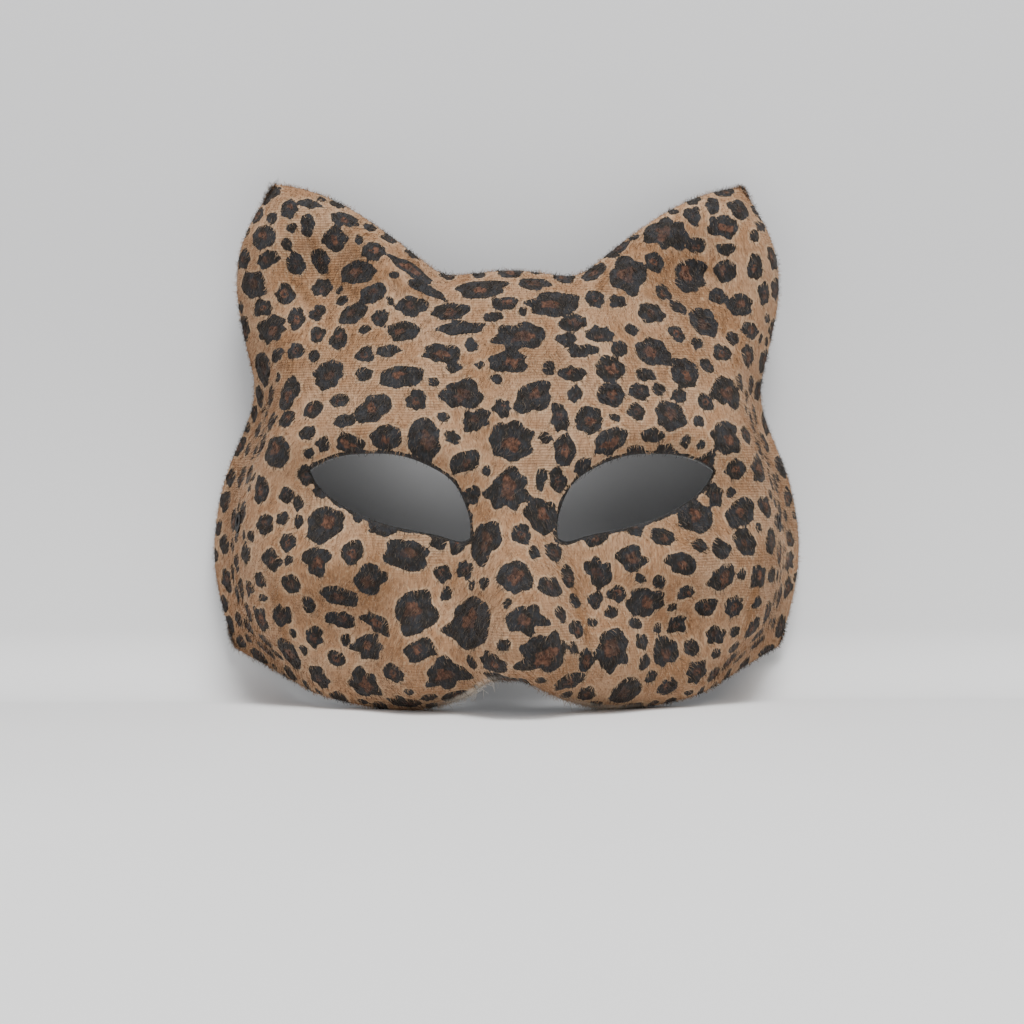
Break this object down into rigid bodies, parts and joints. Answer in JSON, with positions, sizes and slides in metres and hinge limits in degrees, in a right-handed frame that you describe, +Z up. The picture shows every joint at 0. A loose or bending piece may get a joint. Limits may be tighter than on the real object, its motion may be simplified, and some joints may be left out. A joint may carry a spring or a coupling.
{
  "type": "cat half mask",
  "caption": "Cat-faced half mask: thin formed shell with almond eye openings and pricked ears, covered in leopard print pile fabric, with a strap eyelet at each side.",
  "frame": {"origin": "the wearer's side of the mask: in the plane of the rearmost rim, midway between the eye openings and at their height", "axes": "+X to the viewer's right, +Y towards the wearer, +Z up; the face looks along -Y"},
  "size_m": [0.183, 0.0696, 0.158],
  "materials": {
    "shell_plastic": "satin, thermoformed",
    "leopard_fabric": "short pile, printed with dark rosettes on tan",
    "eyelet_metal": "black lacquer, worn at the rolled edge"
  },
  "bodies": {
    "root": {"face_shell": "shell_plastic", "leopard_cover": "leopard_fabric", "left_eyelet": "eyelet_metal", "left_eyelet_washer": "eyelet_metal", "right_eyelet": "eyelet_metal", "right_eyelet_washer": "eyelet_metal"}
  },
  "joints": []
}
